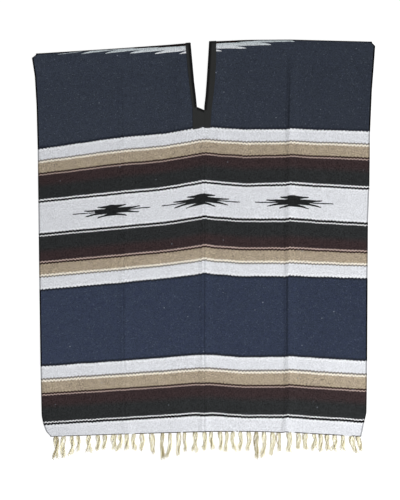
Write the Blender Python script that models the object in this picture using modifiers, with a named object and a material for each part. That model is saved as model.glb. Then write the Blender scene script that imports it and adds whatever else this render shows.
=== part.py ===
"""A striped wool poncho that lies flat, as a set of closed solids in metres, with +Z up.

It is one woven length, folded once at the shoulders, so its front half lies on its back half. A neck
slit runs over the fold and down both halves. Black tape is folded over its two long edges and its two
ends. Each hem has a fringe of strands in pairs.

Every piece is made on the same map of the cloth: a point is so far across the cloth, so far along it
from the crown of the fold (the back half is below zero), and so far out from the middle of its wall.
The origin is on the floor, below the middle of the poncho's box, with +Y towards the shoulders.
Lengths are in millimetres until a point is placed.
"""

import math
from collections import namedtuple

import bmesh
import bpy
import numpy as np
from mathutils import Vector

METRE = 0.001

# Cloth, tape and gaps
WALL = 2.2
TAPE = 1.0
SEAM_GAP = 0.3
PANEL_GAP = 0.5
FOLD_RADIUS = 3.3
FOLD_EASE = 60
FOLD_STEPS = 8
TOP = 580.0
BACK_INSET = 0.006
BACK_SHORTER = 5

# Half widths of the cloth, and how far the weft hangs below its level at the middle
Section = namedtuple(
    "Section",
    "run left right drop_left drop_left_crease drop_left_mid drop_right_mid drop_right_crease drop_right",
)
SECTIONS = (
    Section(0, -457, 463, 32, 18, 9, -6, -7, -1),
    Section(9, -480, 480, 33, 18, 9, -5.5, -6.5, -0.5),
    Section(57, -472, 477, 39, 20, 10.5, -3, -4, 2.5),
    Section(130, -467, 471, 48, 23, 13, 0, -1, 7),
    Section(238, -464, 466, 63, 30, 19.5, 7.5, 5.5, 13),
    Section(389, -462, 464, 55, 31, 19.5, 10, 5.5, 18),
    Section(493, -461, 460, 48, 27, 16, 7, 6, 18),
    Section(647, -459, 459, 45, 25, 13, 7, 6, 13),
    Section(873, -456, 458, 34, 19, 9.5, 9.5, 6, 19),
    Section(1015, -453, 456, 30, 16, 9.5, 9.5, 8, 22),
    Section(1041, -448, 450, 29, 15, 8.5, 9, 8, 22),
    Section(1071, -440, 445, 20, 11, 5.5, 3, 4, 17),
    Section(1091, -427, 441, 13, 6, 3, -1, 1, 13),
)
HEM = SECTIONS[-1].run
RUN_EASE = 3
ACROSS_EASE = 0.03

# Packing creases, placed as shares of the half width, which stand up as soft ridges
Crease = namedtuple("Crease", "share height reach starts")
LEFT_CREASE = Crease(-0.487, 1.6, 20, 30)
MIDDLE_CREASE = Crease(0.004, 2.0, 20, 262)
RIGHT_CREASE = Crease(0.51, 3.0, 20, 30)
CREASES = (LEFT_CREASE, MIDDLE_CREASE, RIGHT_CREASE)
CREASE_EASE = 60
BACK_CREASE_SHARE = 0.5
DROP_SHARES = (-1, -0.51, -0.24, 0, 0.25, RIGHT_CREASE.share, 1)

# Neck slit and the tape round it, which closes to a block below the slit
Neck = namedtuple("Neck", "run tape_left slit_left slit_right tape_right")
NECK = (
    Neck(0, -50.7, -35.8, 15.4, 35.8),
    Neck(60, -45.0, -30.4, 11.8, 35.0),
    Neck(110, -40.0, -26.0, 8.6, 31.9),
    Neck(150, -34.7, -21.0, 5.6, 28.0),
    Neck(180, -30.8, -18.2, 2.0, 23.4),
    Neck(238, -30.0, -18.2, 2.0, 19.3),
)
SLIT_END = 180
BLOCK_END = 238
INNER_LEG = 12
FOLD_STARTS = 0.6
FOLD_BULGE = 0.2
FOLD_ROUND = 0.65
NECK_MIDDLE = -7.5
NECK_HALF = 47
NECK_END = 243
NECK_EASE = 48

# Fringe: one row for each tassel of a repeat, which every run starts again
Tassel = namedtuple("Tassel", "offset tip spread lean")
TASSELS = (
    Tassel(0, 75, 17, 0),
    Tassel(21, 70, 7, -4),
    Tassel(45, 65, 6, -1),
    Tassel(62, 55, 5, 1),
    Tassel(92, 57, 10, 0),
    Tassel(117, 50, 6, 2),
    Tassel(137, 48, 7, 0),
    Tassel(162, 52, 7, 1),
    Tassel(180, 54, 6, -1),
    Tassel(198, 52, 7, 1),
    Tassel(219, 51, 6, -1),
    Tassel(242, 51, 7, 0),
    Tassel(267, 60, 7, 8),
    Tassel(284, 54, 6, 9),
)
FRINGE_RUNS = (-414, -115, 149, 460)
RUN_CLEAR = 20
STRIP = 2.5
STRIP_INSET = 1
STRAND_PAIR = 2.9
STRAND_ROOT_WIDTH = 4.4
BACK_FRINGE_SHORTER = 6

# A strand's belly and tip: share of its length and of its spread, width, height and rise
Stage = namedtuple("Stage", "length spread width height rise")
FRONT_STAGES = (Stage(0.55, 0.35, 6.0, 3.4, 0.8), Stage(1, 1, 3.4, 1.7, 0.4))
BACK_STAGES = (Stage(0.55, 0.35, 6.0, 2.5, 0.2), Stage(1, 1, 3.4, 1.7, 0.3))

# Columns across the cloth, as shares of the half width and as steps beside a crease or the slit
OUTER_SHARES = (1, 0.985, 0.88, 0.76, 0.64)
INNER_SHARES = (0.37, 0.27)
CREASE_STEPS = (-20, -9, 0, 9, 20)
NECK_STEPS = (-62, -40, -20, 0)
MIDDLE_STEPS = (-60, -36, -20, -9, 0, 9, 20, 36, 60)
COLUMNS_TURN = (245, 300)
PANEL_RUNS = (9, 16, 32, 60, 110, 150)
LOWER_RUNS = (215, 245, 300, 389, 493, 570, 647, 760, 873, 960, 1015, 1041, 1071)

LEG_OUT = WALL / 2 + SEAM_GAP + TAPE / 2
TAPE_LIFT = SEAM_GAP + TAPE
NECK_GAP = 2 * TAPE_LIFT + SEAM_GAP
FOLD_GAP = 2 * FOLD_RADIUS - WALL
FOLD_REACH = FOLD_RADIUS + WALL / 2
FOLD_QUARTER = FOLD_RADIUS * math.pi / 2


def eased(value, stations, heights, ease):
    """Reads a line through the stations, with its corners eased."""
    return float(np.interp((value - ease, value, value + ease), stations, heights).mean())


def smooth(share):
    share = min(max(share, 0), 1)
    return share * share * (3 - 2 * share)


def section(column, run):
    return eased(run, [s.run for s in SECTIONS], [getattr(s, column) for s in SECTIONS], RUN_EASE)


def share_of_width(x, run):
    return x / (section("right", run) if x > 0 else -section("left", run))


def weft_drop(x, run):
    """How far the weft hangs below its level at the middle of the cloth."""
    drops = (
        section("drop_left", run),
        section("drop_left_crease", run),
        section("drop_left_mid", run),
        0,
        section("drop_right_mid", run),
        section("drop_right_crease", run),
        section("drop_right", run),
    )
    return eased(share_of_width(x, run), DROP_SHARES, drops, ACROSS_EASE)


def crease_place(crease, run):
    return crease.share * (section("right", run) if crease.share > 0 else -section("left", run))


def ridge(x, run):
    """How far the packing creases lift the front half."""
    lift = 0
    for crease in CREASES:
        off = (x - crease_place(crease, run)) / crease.reach
        if abs(off) < 1:
            lift += crease.height * (1 - off * off) ** 2 * smooth((run - crease.starts) / CREASE_EASE)
    return lift


def near_neck(x, run):
    """1 on the bound slit and its block, easing to 0 over the cloth round them."""
    off = math.hypot(max(abs(x - NECK_MIDDLE) - NECK_HALF, 0), max(run - NECK_END, 0))
    return smooth(1 - off / NECK_EASE)


def back_height(x, run):
    return WALL / 2 + TAPE_LIFT * near_neck(x, run) + BACK_CREASE_SHARE * ridge(x, run)


def front_height(x, run):
    at_fold = FOLD_GAP - PANEL_GAP
    at_neck = NECK_GAP - PANEL_GAP
    opened = max(at_fold * smooth(1 - (run - FOLD_REACH) / FOLD_EASE), at_neck * near_neck(x, run))
    lift = (1 - BACK_CREASE_SHARE) * ridge(x, run)
    return back_height(x, run) + WALL + PANEL_GAP + opened + lift


def middle(x, along):
    """The point on the middle of the wall, x across and so far along from the crown of the fold."""
    if abs(along) < FOLD_QUARTER:
        turn = along / FOLD_RADIUS
        y = TOP - weft_drop(x, FOLD_REACH) - FOLD_REACH + FOLD_RADIUS * math.cos(turn)
        return Vector((x, y, back_height(x, FOLD_REACH) + FOLD_RADIUS * (1 + math.sin(turn))))
    run = abs(along) - FOLD_QUARTER + FOLD_REACH
    y = TOP - weft_drop(x, run) - run
    if along > 0:
        return Vector((x, y, front_height(x, run)))
    inset = 1 - BACK_INSET * smooth(run / FOLD_EASE / 2)
    return Vector((x * inset, y, back_height(x, run)))


def placed(x, along, out=0):
    """The point moved out from the wall: up on the front half, down on the back."""
    point = middle(x, along)
    if out:
        step = 0.25
        across = middle(x + step, along) - middle(x - step, along)
        down = middle(x, along + step) - middle(x, along - step)
        point = point - across.cross(down).normalized() * out
    return point * METRE


def along_of(run):
    return run - FOLD_REACH + FOLD_QUARTER


def run_of(along):
    return max(abs(along) - FOLD_QUARTER, 0) + FOLD_REACH


def neck_line(column, run):
    return float(np.interp(run, [n.run for n in NECK], [getattr(n, column) for n in NECK]))


def fold_turns():
    """The places along the cloth round half of the fold, from its crown to the flat."""
    return [FOLD_QUARTER * i * 2 / FOLD_STEPS for i in range(1, FOLD_STEPS // 2 + 1)]


def cloth_rows(cut_end):
    """Places along the front half, from the first turn of the fold to the hem."""
    runs = PANEL_RUNS + (cut_end,) + LOWER_RUNS + (HEM,)
    return fold_turns() + [along_of(run) for run in runs]


def cloth_columns(run, cut):
    """Places across the cloth at one run, in order from its left edge."""
    left, right = -section("left", run), section("right", run)
    neck = [neck_line("slit_left", run) - cut + step for step in NECK_STEPS]
    neck += [NECK_MIDDLE]
    neck += [neck_line("slit_right", run) + cut - step for step in reversed(NECK_STEPS)]
    crease = [crease_place(MIDDLE_CREASE, run) + step for step in MIDDLE_STEPS]
    turn = smooth((run - COLUMNS_TURN[0]) / (COLUMNS_TURN[1] - COLUMNS_TURN[0]))
    columns = [-share * left for share in OUTER_SHARES]
    columns += [crease_place(LEFT_CREASE, run) + step for step in CREASE_STEPS]
    columns += [-share * left for share in INNER_SHARES]
    columns += [a + (b - a) * turn for a, b in zip(neck, crease)]
    columns += [share * right for share in reversed(INNER_SHARES)]
    columns += [crease_place(RIGHT_CREASE, run) + step for step in CREASE_STEPS]
    columns += [share * right for share in reversed(OUTER_SHARES)]
    return columns


def material(name, colour, roughness):
    made = bpy.data.materials.new(name)
    made.use_nodes = True
    shader = made.node_tree.nodes["Principled BSDF"]
    shader.inputs["Base Color"].default_value = (*colour, 1)
    shader.inputs["Roughness"].default_value = roughness
    shader.inputs["Metallic"].default_value = 0
    return made


def solid(name, bm, finish, parts, root):
    """Puts a mesh into the poncho's collection as one named object."""
    bmesh.ops.recalc_face_normals(bm, faces=bm.faces)
    mesh = bpy.data.meshes.new(name)
    bm.to_mesh(mesh)
    bm.free()
    mesh.materials.append(finish)
    made = bpy.data.objects.new(name, mesh)
    made.parent = root
    parts.objects.link(made)
    return made


def thicken(made, wall):
    shell = made.modifiers.new("wall", "SOLIDIFY")
    shell.thickness = wall * METRE
    shell.offset = 0
    shell.solidify_mode = "NON_MANIFOLD"
    shell.nonmanifold_thickness_mode = "CONSTRAINTS"


def cloth(finish, parts, root):
    """The woven length: a grid over the fold, with the slit left out, given its wall."""
    cut = TAPE_LIFT
    front = cloth_rows(SLIT_END + cut)
    back_scale = (HEM - BACK_SHORTER) / HEM
    back = [-a if run_of(a) <= SLIT_END + cut else -a * back_scale for a in front]
    rows = back[::-1] + [0] + front
    count = len(cloth_columns(0, cut))
    bm = bmesh.new()
    bmesh.ops.create_grid(bm, x_segments=count - 1, y_segments=len(rows) - 1, size=1)
    bm.verts.ensure_lookup_table()
    for i, along in enumerate(rows):
        for j, x in enumerate(cloth_columns(run_of(along), cut)):
            bm.verts[i * count + j].co = placed(x, along)
    first = len(OUTER_SHARES) + len(CREASE_STEPS) + len(INNER_SHARES) + len(NECK_STEPS) - 1
    in_slit = [i for i, along in enumerate(rows) if run_of(along) <= SLIT_END + cut]
    hole = []
    for face in bm.faces:
        at = [divmod(vert.index, count) for vert in face.verts]
        if all(i in in_slit and first <= j <= first + 2 for i, j in at):
            hole.append(face)
    bmesh.ops.delete(bm, geom=hole, context="FACES")
    made = solid("cloth", bm, finish, parts, root)
    thicken(made, WALL)


def folded_edge(outer, edge, into):
    """Places on tape folded over a cut edge, each with its way out: outer leg, fold, inner leg."""
    return (
        (outer, LEG_OUT),
        (edge + into * FOLD_STARTS, LEG_OUT),
        (edge - into * FOLD_BULGE, LEG_OUT - FOLD_ROUND),
        (edge - into * FOLD_BULGE, FOLD_ROUND - LEG_OUT),
        (edge + into * FOLD_STARTS, -LEG_OUT),
        (edge + into * INNER_LEG, -LEG_OUT),
    )


def tape(name, rings, finish, parts, root):
    """One length of tape, from rings of points across it. Its fold ends where the rings get short."""
    bm = bmesh.new()
    rings = [[bm.verts.new(point) for point in ring] for ring in rings]
    for ring, after in zip(rings, rings[1:]):
        for i in range(min(len(ring), len(after)) - 1):
            bm.faces.new((ring[i], ring[i + 1], after[i + 1], after[i]))
    thicken(solid(name, bm, finish, parts, root), TAPE)


def side_tape(name, side, finish, parts, root):
    """Tape folded over one long edge of the slit, from the front block over the fold to the back."""
    slit, outer = ("slit_left", "tape_left") if side < 0 else ("slit_right", "tape_right")
    runs = PANEL_RUNS + (SLIT_END + TAPE / 2, BLOCK_END)
    front = fold_turns() + [along_of(run) for run in runs]
    rings = []
    for along in [-place for place in reversed(front)] + [0] + front:
        run = run_of(along)
        edge = neck_line(slit, run) + side * TAPE / 2
        profile = folded_edge(neck_line(outer, run), edge, side)
        if run > SLIT_END + TAPE:
            profile = (profile[0], (edge, LEG_OUT))
        rings.append([placed(x, along, out) for x, out in profile])
    tape(name, rings, finish, parts, root)


def end_tape(name, side, finish, parts, root):
    """Tape folded over one end of the slit, which closes the block between the two long tapes."""
    clear = FOLD_BULGE + SEAM_GAP
    left = neck_line("slit_left", SLIT_END) + clear
    right = neck_line("slit_right", SLIT_END) - clear
    profile = folded_edge(BLOCK_END, SLIT_END + TAPE / 2, 1)
    rings = []
    for x in (left, (left + right) / 2, right):
        rings.append([placed(x, side * along_of(run), out) for run, out in profile])
    tape(name, rings, finish, parts, root)


def strands():
    """Root, spread, tip and lean of each strand, two to a tassel, from the left."""
    found = []
    for start, stop in zip(FRINGE_RUNS, FRINGE_RUNS[1:]):
        for tassel in TASSELS:
            x = start + tassel.offset
            if x > stop - RUN_CLEAR:
                continue
            for side in (-1, 1):
                root = x + side * STRAND_PAIR
                found.append((root, side * tassel.spread / 2 + tassel.lean, tassel.tip))
    return found


def fringe(name, side, finish, parts, root):
    """A narrow strip along one hem, with its strands drawn out of the strip's outer face."""
    hem = HEM if side > 0 else HEM - BACK_SHORTER
    near = side * (along_of(hem) + SEAM_GAP)
    far = near + side * STRIP
    corners = ((near, -WALL / 2), (near, WALL / 2), (far, WALL / 2), (far, -WALL / 2))
    found = strands()
    edges = [section("left", HEM) + STRIP_INSET]
    for x, *_ in found:
        edges += [x - STRAND_ROOT_WIDTH / 2, x + STRAND_ROOT_WIDTH / 2]
    edges += [section("right", HEM) - STRIP_INSET]
    bm = bmesh.new()
    rings = [[bm.verts.new(placed(x, *corner)) for corner in corners] for x in edges]
    outer = []
    for ring, after in zip(rings, rings[1:]):
        for i in range(len(corners)):
            k = (i + 1) % len(corners)
            face = bm.faces.new((ring[i], ring[k], after[k], after[i]))
            if i == 2:
                outer.append(face)
    bm.faces.new(rings[0])
    bm.faces.new(rings[-1][::-1])
    bmesh.ops.recalc_face_normals(bm, faces=bm.faces)
    level = middle(0, along_of(HEM)).y
    for face, (x, sideways, tip) in zip(outer[1::2], found):
        reach = level - tip if side > 0 else level - tip + BACK_FRINGE_SHORTER
        draw_strand(bm, face, Vector((x + sideways, reach)), FRONT_STAGES if side > 0 else BACK_STAGES)
    solid(name, bm, finish, parts, root)


def draw_strand(bm, face, tip, stages):
    """Draws one strand out of its root face, through its belly to a blunt tip."""
    root = face.calc_center_median() / METRE
    for stage in stages:
        at = Vector((
            root.x + (tip.x - root.x) * stage.spread,
            root.y + (tip.y - root.y) * stage.length,
            root.z + stage.rise,
        ))
        face = bmesh.ops.extrude_discrete_faces(bm, faces=[face])["faces"][0]
        middle_now = face.calc_center_median()
        for vert in face.verts:
            off = vert.co - middle_now
            across = math.copysign(stage.width / 2, off.x)
            upright = math.copysign(stage.height / 2, off.z)
            vert.co = (at + Vector((across, 0, upright))) * METRE


def main():
    for old in list(bpy.data.objects):
        bpy.data.objects.remove(old)
    parts = bpy.data.collections.new("poncho")
    bpy.context.scene.collection.children.link(parts)
    root = bpy.data.objects.new("poncho_root", None)
    parts.objects.link(root)

    wool = material("striped_wool", (0.05, 0.06, 0.09), 0.92)
    black = material("black_tape", (0.02, 0.021, 0.022), 0.8)
    yarn = material("cream_yarn", (0.78, 0.75, 0.64), 0.9)

    cloth(wool, parts, root)
    side_tape("neck_tape_left", -1, black, parts, root)
    side_tape("neck_tape_right", 1, black, parts, root)
    end_tape("neck_end_front", 1, black, parts, root)
    end_tape("neck_end_back", -1, black, parts, root)
    fringe("fringe_front", 1, yarn, parts, root)
    fringe("fringe_back", -1, yarn, parts, root)


main()
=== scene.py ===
"""The look of a striped wool poncho that lies flat, folded at the shoulders.

Every piece is made on the same map of the cloth as its solid: a point is so far across the cloth, so
far along it from the crown of the fold (the back half is below zero), and so far out from the middle
of its wall. Lengths are in millimetres until a point is placed, and in metres inside a material.
"""

import math
from collections import namedtuple
from functools import partialmethod

import bmesh
import bpy
import numpy as np
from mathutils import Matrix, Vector


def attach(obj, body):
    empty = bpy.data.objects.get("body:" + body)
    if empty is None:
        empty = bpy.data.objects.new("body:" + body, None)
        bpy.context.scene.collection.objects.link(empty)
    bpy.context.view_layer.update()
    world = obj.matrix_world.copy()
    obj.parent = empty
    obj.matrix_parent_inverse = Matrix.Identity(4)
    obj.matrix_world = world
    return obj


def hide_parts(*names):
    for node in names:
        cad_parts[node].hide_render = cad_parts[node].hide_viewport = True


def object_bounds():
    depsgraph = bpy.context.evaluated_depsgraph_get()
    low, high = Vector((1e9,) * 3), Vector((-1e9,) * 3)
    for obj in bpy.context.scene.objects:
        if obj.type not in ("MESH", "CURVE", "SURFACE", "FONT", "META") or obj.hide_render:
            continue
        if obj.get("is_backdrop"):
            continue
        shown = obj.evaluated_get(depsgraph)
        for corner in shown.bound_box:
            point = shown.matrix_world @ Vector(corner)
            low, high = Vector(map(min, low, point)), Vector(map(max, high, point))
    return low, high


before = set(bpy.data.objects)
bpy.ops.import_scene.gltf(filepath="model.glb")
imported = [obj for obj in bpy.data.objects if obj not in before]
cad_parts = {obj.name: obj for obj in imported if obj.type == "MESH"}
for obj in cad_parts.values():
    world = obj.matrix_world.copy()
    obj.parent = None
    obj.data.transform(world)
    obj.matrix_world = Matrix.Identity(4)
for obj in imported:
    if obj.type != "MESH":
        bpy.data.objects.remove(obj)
CAD_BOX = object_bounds()

METRE = 0.001
FULL_TURN = 2 * math.pi

# Cloth, tape and gaps
WALL = 2.2
TAPE = 1.0
SEAM_GAP = 0.3
PANEL_GAP = 0.5
FOLD_RADIUS = 3.3
FOLD_EASE = 60
TOP = 580.0
BACK_INSET = 0.006
BACK_SHORTER = 5

# Half widths of the cloth, and how far the weft hangs below its level at the middle
Section = namedtuple(
    "Section",
    "run left right drop_left drop_left_crease drop_left_mid drop_right_mid drop_right_crease"
    " drop_right peak",
)
SECTIONS = [Section(*row) for row in (
    (0, -457, 463, 32, 18, 9, -6, -7, -1, 0),
    (9, -480, 480, 33, 18, 9, -5.5, -6.5, -0.5, 0),
    (57, -472, 477, 39, 20, 10.5, -3, -4, 2.5, 0),
    (130, -467, 471, 48, 23, 13, 0, -1, 7, 0),
    (238, -464, 466, 63, 30, 19.5, 7.5, 5.5, 13, 0),
    (389, -462, 464, 55, 31, 19.5, 10, 5.5, 18, 1),
    (493, -461, 460, 48, 27, 16, 7, 6, 18, 3.5),
    (647, -459, 459, 45, 25, 13, 7, 6, 13, 4),
    (873, -456, 458, 34, 19, 9.5, 9.5, 6, 19, -1),
    (1015, -453, 456, 30, 16, 9.5, 9.5, 8, 22, -3),
    (1041, -448, 450, 29, 15, 8.5, 9, 8, 22, -3),
    (1071, -440, 445, 20, 11, 5.5, 3, 4, 17, -1),
    (1091, -427, 441, 13, 6, 3, -1, 1, 13, 0),
)]
HEM = SECTIONS[-1].run
RUN_EASE = 3
ACROSS_EASE = 0.03

# Packing creases: a soft ridge with its reach to each side, a sharp line in it, and a jog in the weft
Crease = namedtuple("Crease", "share height left_reach right_reach starts line line_reach jog")
LEFT_CREASE = Crease(-0.487, 2.0, 14, 24, 30, -0.9, 4, 0.2)
MIDDLE_CREASE = Crease(0.004, 2.6, 18, 26, 262, -1.6, 4, 0.3)
RIGHT_CREASE = Crease(0.51, 4.0, 9, 32, 30, -0.9, 4, 1.7)
CREASES = (LEFT_CREASE, MIDDLE_CREASE, RIGHT_CREASE)
CREASE_EASE = 60
JOG_REACH = 30
PEAK_REACH = 14
BACK_CREASE_SHARE = 0.5
RIPPLE = 2.0
Swell = namedtuple("Swell", "across down shift")
SWELLS = (Swell(47, 130, 0), Swell(83, -61, 1.3), Swell(210, 37, 0))
DROP_SHARES = (-1, -0.51, -0.24, 0, 0.25, RIGHT_CREASE.share, 1)
DROPS = {0: "drop_left", 1: "drop_left_crease", 2: "drop_left_mid",
         4: "drop_right_mid", 5: "drop_right_crease", 6: "drop_right"}

# Neck slit and the tape round it, which closes to a block below the slit
Neck = namedtuple("Neck", "run tape_left slit_left slit_right tape_right")
NECK = (
    Neck(0, -50.7, -35.8, 15.4, 35.8),
    Neck(60, -45.0, -30.4, 11.8, 35.0),
    Neck(110, -40.0, -26.0, 8.6, 31.9),
    Neck(150, -34.7, -21.0, 5.6, 28.0),
    Neck(180, -30.8, -18.2, 2.0, 23.4),
    Neck(238, -30.0, -18.2, 2.0, 19.3),
)
SLIT_END = 180
BLOCK_END = 240.5
SLIT_SLANT = 5
SLANT_HALF = 10
SLANT_REACH = 45
INNER_LEG = 12
FOLD_BULGE = 1.5
NECK_MIDDLE = -7.5
NECK_HALF = 47
NECK_END = 243
NECK_EASE = 48

# Stripe levels along the warp, below the first edge between indigo and white
LEVEL_RUNS = (238, 389, 493, 647, 873, 1041, 1091)
LEVELS = (0, 154, 255.6, 410.2, 637, 804.4, 845.6)
FOLD_LEVELS = (-267, -248, -243, -238, -244, -243, -249)
PATTERN_HALF = 462

# Fringe: one row for each tassel of a repeat, which every run starts again
Tassel = namedtuple("Tassel", "offset tip spread lean")
TASSELS = [Tassel(*row) for row in (
    (0, 75, 17, 0), (21, 70, 7, -4), (45, 65, 6, -1), (62, 55, 5, 1), (92, 57, 10, 0),
    (117, 50, 6, 2), (137, 48, 7, 0), (162, 52, 7, 1), (180, 54, 6, -1), (198, 52, 7, 1),
    (219, 51, 6, -1), (242, 51, 7, 0), (267, 60, 7, 8), (284, 54, 6, 9),
)]
FRINGE_RUNS = (-414, -115, 149, 460)
RUN_CLEAR = 20
BACK_FRINGE_SHORTER = 6
ROOT_INSIDE = 2
TASSEL_DROP = 0.6
BACK_TASSEL_DROP = -0.3
THICK_SPREAD = 12
PLIES = 2
PLY_RADIUS = 0.0009
PLY_PITCH = 0.013
YARN_TURNS = 0.8
YARN_STRAY = 0.004
YARN_POINTS = 30

LEG_OUT = WALL / 2 + SEAM_GAP + TAPE / 2
TAPE_LIFT = SEAM_GAP + TAPE
NECK_GAP = 2 * TAPE_LIFT + SEAM_GAP
FOLD_GAP = 2 * FOLD_RADIUS - WALL
FOLD_REACH = FOLD_RADIUS + WALL / 2
FOLD_QUARTER = FOLD_RADIUS * math.pi / 2


# The map of the cloth

def eased(values, stations, heights, ease):
    """Reads a line through the stations, with its corners eased."""
    return sum(np.interp(values + shift, stations, heights) for shift in (-ease, 0, ease)) / 3


def smooth(share):
    share = np.clip(share, 0, 1)
    return share * share * (3 - 2 * share)


def section(column, run):
    return eased(run, [s.run for s in SECTIONS], [getattr(s, column) for s in SECTIONS], RUN_EASE)


def neck_line(column, run):
    return np.interp(run, [n.run for n in NECK], [getattr(n, column) for n in NECK])


def half_width(x, run):
    return np.where(x > 0, section("right", run), -section("left", run))


def crease_off(crease, x, run):
    """How far the point is to the right of the crease."""
    side = "right" if crease.share > 0 else "left"
    return x - abs(section(side, run)) * crease.share


def crease_depth(crease, run):
    return smooth((run - crease.starts) / CREASE_EASE)


def hump(off):
    """1 in the middle, easing to 0 at one reach to either side."""
    return np.clip(1 - off * off, 0, None) ** 2


def weft_drop(x, run):
    """How far the weft hangs below its level at the middle of the cloth."""
    share = x / half_width(x, run)
    drop = 0
    for i, column in DROPS.items():
        near = eased(share, DROP_SHARES, np.eye(len(DROP_SHARES))[i], ACROSS_EASE)
        drop = drop + near * section(column, run)
    for crease in CREASES:
        off = crease_off(crease, x, run)
        jog = np.tanh(off / crease.line_reach) * np.exp(-np.abs(off) / JOG_REACH)
        drop = drop - crease.jog * crease_depth(crease, run) * jog
    at_peak = np.exp(-np.abs(crease_off(MIDDLE_CREASE, x, run)) / PEAK_REACH)
    return drop - section("peak", run) * at_peak


def ridge(x, run):
    """How far the packing creases lift the front half."""
    lift = 0
    for crease in CREASES:
        off = crease_off(crease, x, run)
        off = off / np.where(off < 0, crease.left_reach, crease.right_reach)
        lift = lift + crease.height * crease_depth(crease, run) * hump(off)
    return lift


def crease_line(x, run):
    """The sharp line along each crease, up or down from its ridge."""
    return sum(
        crease.line * crease_depth(crease, run) * hump(crease_off(crease, x, run) / crease.line_reach)
        for crease in CREASES
    )


def near_neck(x, run):
    """1 on the bound slit and its block, easing to 0 over the cloth round them."""
    aside = np.clip(np.abs(x - NECK_MIDDLE) - NECK_HALF, 0, None)
    below = np.clip(run - NECK_END, 0, None)
    return smooth(1 - np.hypot(aside, below) / NECK_EASE)


def ripple(x, run):
    """Low, broad swells of cloth that doesn't lie quite flat."""
    swell = len(SWELLS) + sum(np.sin(x / s.across + run / s.down + s.shift) for s in SWELLS)
    height = RIPPLE * swell / (2 * len(SWELLS))
    return height * (1 - near_neck(x, run)) * smooth((run - FOLD_EASE) / FOLD_EASE)


def back_height(x, run):
    return WALL / 2 + TAPE_LIFT * near_neck(x, run) + BACK_CREASE_SHARE * ridge(x, run)


def front_height(x, run):
    at_fold = (FOLD_GAP - PANEL_GAP) * smooth(1 - (run - FOLD_REACH) / FOLD_EASE)
    at_neck = (NECK_GAP - PANEL_GAP) * near_neck(x, run)
    lift = (1 - BACK_CREASE_SHARE) * ridge(x, run) + crease_line(x, run) + ripple(x, run)
    return back_height(x, run) + WALL + PANEL_GAP + np.maximum(at_fold, at_neck) + lift


def middle(x, along):
    """Points on the middle of the wall, x across and so far along from the crown of the fold."""
    x, along = np.broadcast_arrays(np.asarray(x, float), np.asarray(along, float))
    turn = np.clip(along / FOLD_RADIUS, -math.pi / 2, math.pi / 2)
    run = run_of(along)
    in_fold = np.abs(along) < FOLD_QUARTER
    round_y = TOP - weft_drop(x, FOLD_REACH) - FOLD_REACH + FOLD_RADIUS * np.cos(turn)
    round_z = back_height(x, FOLD_REACH) + FOLD_RADIUS * (1 + np.sin(turn))
    flat_y = TOP - weft_drop(x, run) - run
    flat_z = np.where(along > 0, front_height(x, run), back_height(x, run))
    inset = np.where(along < -FOLD_QUARTER, BACK_INSET * smooth(run / FOLD_EASE / 2), 0)
    return np.stack(
        (x * (1 - inset), np.where(in_fold, round_y, flat_y), np.where(in_fold, round_z, flat_z)), -1
    )


def placed(x, along, out=0):
    """Points moved out from the wall, in metres: up on the front half, down on the back."""
    step = 0.25
    across = middle(x + step, along) - middle(x - step, along)
    down = middle(x, along + step) - middle(x, along - step)
    facing = np.cross(down, across)
    facing = facing / np.linalg.norm(facing, axis=-1, keepdims=True)
    return (middle(x, along) + facing * np.asarray(out, float)[..., None]) * METRE


def along_of(run):
    return run - FOLD_REACH + FOLD_QUARTER


def run_of(along):
    return np.maximum(np.abs(along) - FOLD_QUARTER, 0) + FOLD_REACH


def slit_slant(x, run):
    """How much lower the slit's end is cut on its right than on its left."""
    off = x - NECK_MIDDLE
    aside = np.clip(off / SLANT_HALF, -1, 1)
    near = smooth(1 - (np.abs(off) - SLANT_HALF) / SLANT_REACH)
    return SLIT_SLANT * (1 + aside) * near * smooth(1 - np.abs(run - SLIT_END) / SLANT_REACH)


def stripe_level(x, along):
    """How far down the warp a point is from the first edge between indigo and white."""
    run = run_of(along)
    at_fold = eased(x / half_width(x, run), DROP_SHARES, FOLD_LEVELS, ACROSS_EASE)
    from_fold = np.abs(along) / along_of(LEVEL_RUNS[0])
    return np.where(from_fold < 1, at_fold * (1 - from_fold), np.interp(run, LEVEL_RUNS, LEVELS))


# Node trees

class Field:
    """A number that changes from place to place, worked out by Math nodes."""

    def __init__(self, socket):
        self.socket = socket
        self.id_data = socket.id_data

    def maths(self, operation, *others):
        node = add(self.id_data, "ShaderNodeMath", {0: self}, operation=operation)
        for place, other in enumerate(others, 1):
            give(node.inputs[place], other)
        return Field(node.outputs[0])

    __add__ = partialmethod(maths, "ADD")
    __sub__ = partialmethod(maths, "SUBTRACT")
    __mul__ = partialmethod(maths, "MULTIPLY")
    __neg__ = partialmethod(maths, "MULTIPLY", -1)
    __truediv__ = partialmethod(maths, "DIVIDE")
    __abs__ = partialmethod(maths, "ABSOLUTE")
    floor = partialmethod(maths, "FLOOR")
    least = partialmethod(maths, "MINIMUM")
    most = partialmethod(maths, "MAXIMUM")
    below = partialmethod(maths, "LESS_THAN")
    above = partialmethod(maths, "GREATER_THAN")

    def eased_between(self, low, high):
        """0 below low, 1 above high, and a smooth step between."""
        sockets = {"Value": self, "From Min": low, "From Max": high}
        node = add(self.id_data, "ShaderNodeMapRange", sockets, interpolation_type="SMOOTHSTEP")
        return Field(node.outputs["Result"])


def give(socket, value):
    """Links a socket to what feeds it, or sets its value."""
    if isinstance(value, Field):
        value = value.socket
    if isinstance(value, bpy.types.NodeSocket):
        socket.id_data.links.new(value, socket)
    else:
        socket.default_value = value


def add(tree, kind, sockets=None, **settings):
    """Adds one node to a tree, with its settings and what its sockets are given."""
    node = tree.nodes.new(kind)
    for name, value in settings.items():
        setattr(node, name, value)
    for key, value in (sockets or {}).items():
        give(node.inputs[key], value)
    return node


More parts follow.
